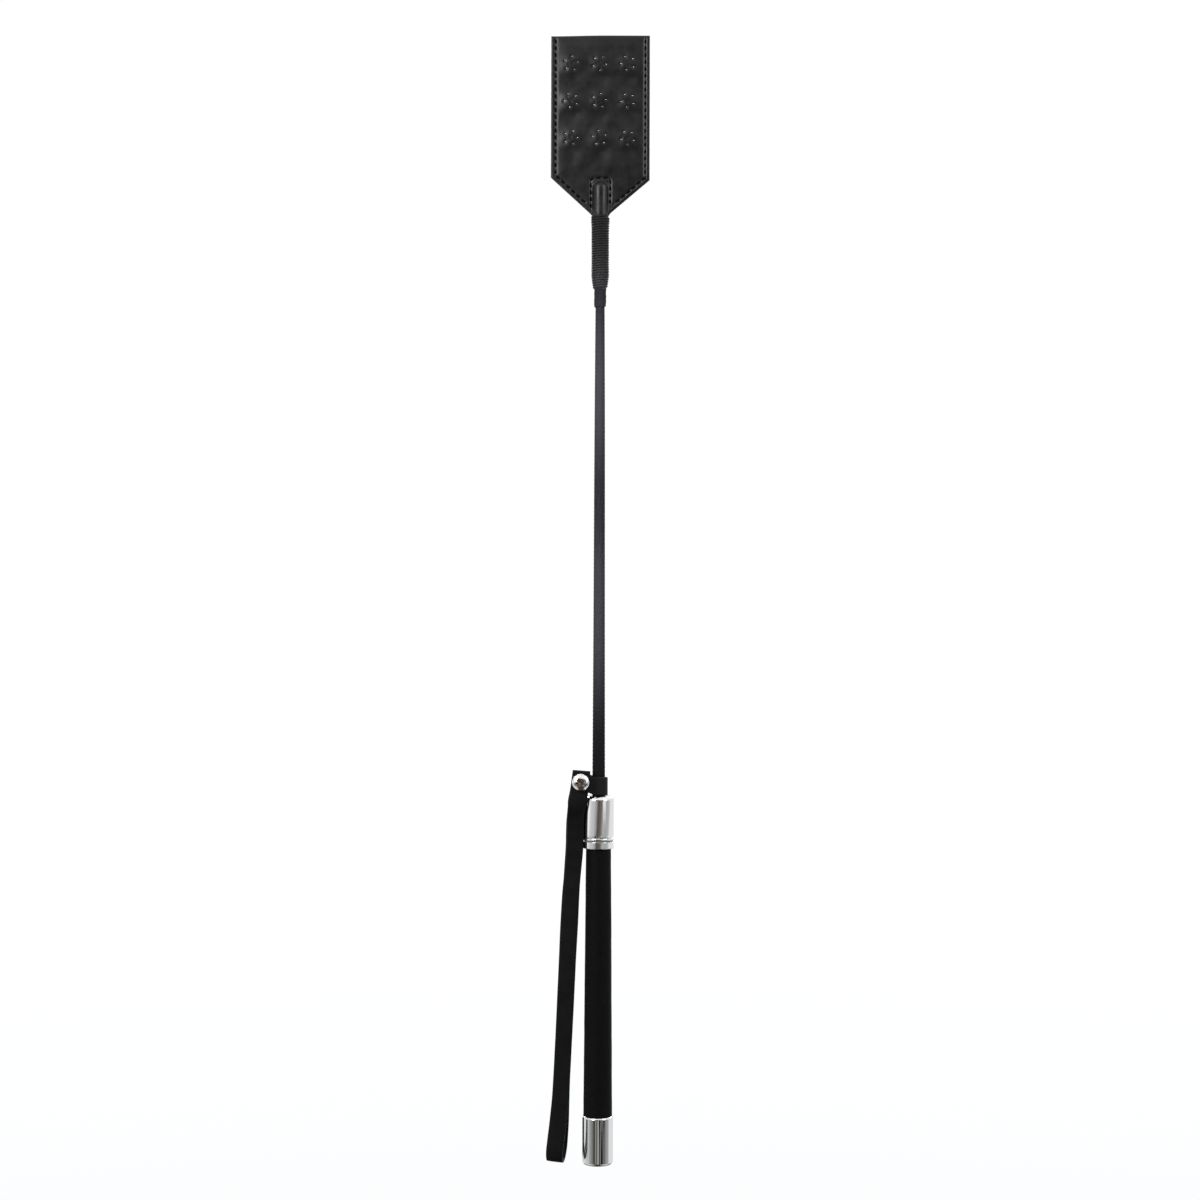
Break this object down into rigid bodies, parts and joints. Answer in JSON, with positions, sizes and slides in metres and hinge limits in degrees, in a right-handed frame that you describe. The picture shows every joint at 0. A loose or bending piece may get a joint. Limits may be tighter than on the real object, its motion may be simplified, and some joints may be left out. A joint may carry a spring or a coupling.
{
  "type": "riding crop",
  "caption": "Straight riding crop with a studded folded leather tongue, braided shaft, rubber grip, chrome caps and a riveted wrist loop on a sliding keeper band.",
  "frame": {"origin": "centre of the end cap's flat butt face", "axes": "+Z along the shaft from butt to tip, -Y out of the tongue's front face, -X the side on which the wrist loop hangs"},
  "size_m": [0.058, 0.0225, 0.65],
  "materials": {
    "chrome": "mirror polished",
    "grip_rubber": "matte, fine grain",
    "core_plastic": "moulded, unseen",
    "fibreglass": "pultruded rod, unseen",
    "braid": "tight black textile braid",
    "tip_tape": "black cloth tape",
    "thread": "waxed black thread",
    "flap_leather": "smooth charcoal black, soft sheen",
    "strap_leather": "smooth black, matte",
    "board": "thin liner, unseen",
    "stud_metal": "polished dark nickel"
  },
  "bodies": {
    "crop": {"end_cap": "chrome", "butt_plug": "core_plastic", "handle_core": "core_plastic", "rubber_grip": "grip_rubber", "trim_ring": "chrome", "front_collar": "chrome", "collar_spacer": "core_plastic", "rod_core": "fibreglass", "braided_sleeve": "braid", "tip_sleeve": "tip_tape", "rod_tip_cap": "core_plastic", "whipping_thread": "thread", "flap_front_neck": "flap_leather", "flap_back_neck": "flap_leather", "neck_stitching": "thread", "pocket_stitching": "thread"},
    "tongue": {"flap_cover": "flap_leather", "flap_filler": "board", "edge_stitching": "thread", "dome_studs": "stud_metal"},
    "keeper": {"keeper_ring": "strap_leather"},
    "swivel": {"keeper_tabs": "strap_leather", "rivet_cap": "chrome", "rivet_post": "chrome"},
    "strap": {"wrist_strap": "strap_leather"}
  },
  "joints": [
    {"name": "flap_flex", "type": "hinge", "parent": "crop", "child": "tongue", "pos_m": [0, 0, 0.57], "axis": [1, 0, 0], "range_deg": [-40, 40], "stiffness_Nm_per_rad": 0.15},
    {"name": "keeper_slide", "type": "slide", "parent": "crop", "child": "keeper", "axis": [0, 0, 1], "range_m": [0, 0.279]},
    {"name": "keeper_swivel", "type": "hinge", "parent": "keeper", "child": "swivel", "pos_m": [0, 0, 0.218], "axis": [0, 0, 1], "continuous": true},
    {"name": "strap_swing", "type": "hinge", "parent": "swivel", "child": "strap", "pos_m": [-0.0102, -0.0067, 0.2208], "axis": [0, 1, 0], "range_deg": [0, 150]}
  ]
}
